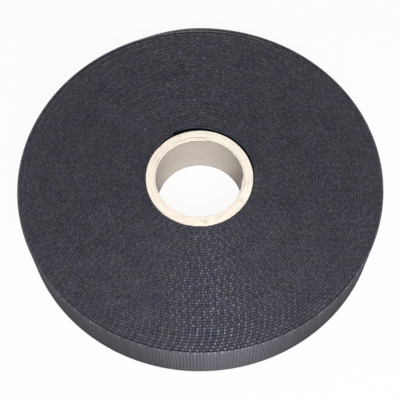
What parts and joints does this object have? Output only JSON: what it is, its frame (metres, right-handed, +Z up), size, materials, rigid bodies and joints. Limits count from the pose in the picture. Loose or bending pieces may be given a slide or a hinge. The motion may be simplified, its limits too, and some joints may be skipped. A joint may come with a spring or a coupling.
{
  "type": "hook and loop tape roll",
  "caption": "Flat roll of wide woven hook tape wound on a short cardboard core, with a free end that peels off the outer turn.",
  "frame": {"origin": "on the core's axis, in the plane of the tape's lower edges, which the roll rests on", "axes": "+Z up along the core's axis, out of the upper face; -Y towards the viewer of the picture; the free end is at the back, 28 degrees from +Y towards -X"},
  "size_m": [0.2401, 0.2412, 0.038],
  "materials": {
    "hook_tape": "matt woven nylon, dark charcoal, ribbed across its back",
    "core_board": "cut edge of pale laminated board",
    "core_liner": "smooth greyish liner ply",
    "adhesive_strip": "creped paper adhesive tape"
  },
  "bodies": {
    "roll": {"core_tube": "core_board", "core_liner": "core_liner", "starter_strip": "adhesive_strip", "tape_winding": "hook_tape"},
    "end_link_1": {"tape_end_1": "hook_tape"},
    "end_link_2": {"tape_end_2": "hook_tape"},
    "end_link_3": {"tape_end_3": "hook_tape"},
    "end_link_4": {"tape_end_4": "hook_tape", "closing_strip": "adhesive_strip"}
  },
  "joints": [
    {"name": "peel_1", "type": "hinge", "parent": "roll", "child": "end_link_1", "pos_m": [0.02516, 0.11835, 0.019], "axis": [0, 0, -1], "range_deg": [0, 22]},
    {"name": "peel_2", "type": "hinge", "parent": "end_link_1", "child": "end_link_2", "pos_m": [0.00422, 0.12097, 0.019], "axis": [0, 0, -1], "range_deg": [0, 22]},
    {"name": "peel_3", "type": "hinge", "parent": "end_link_2", "child": "end_link_3", "pos_m": [-0.01685, 0.11992, 0.019], "axis": [0, 0, -1], "range_deg": [0, 22]},
    {"name": "peel_4", "type": "hinge", "parent": "end_link_3", "child": "end_link_4", "pos_m": [-0.03744, 0.11522, 0.019], "axis": [0, 0, -1], "range_deg": [0, 22]}
  ],
  "couplings": [
    {"joint": "peel_2", "follows": "peel_1", "ratio": 1},
    {"joint": "peel_3", "follows": "peel_1", "ratio": 1},
    {"joint": "peel_4", "follows": "peel_1", "ratio": 1}
  ]
}
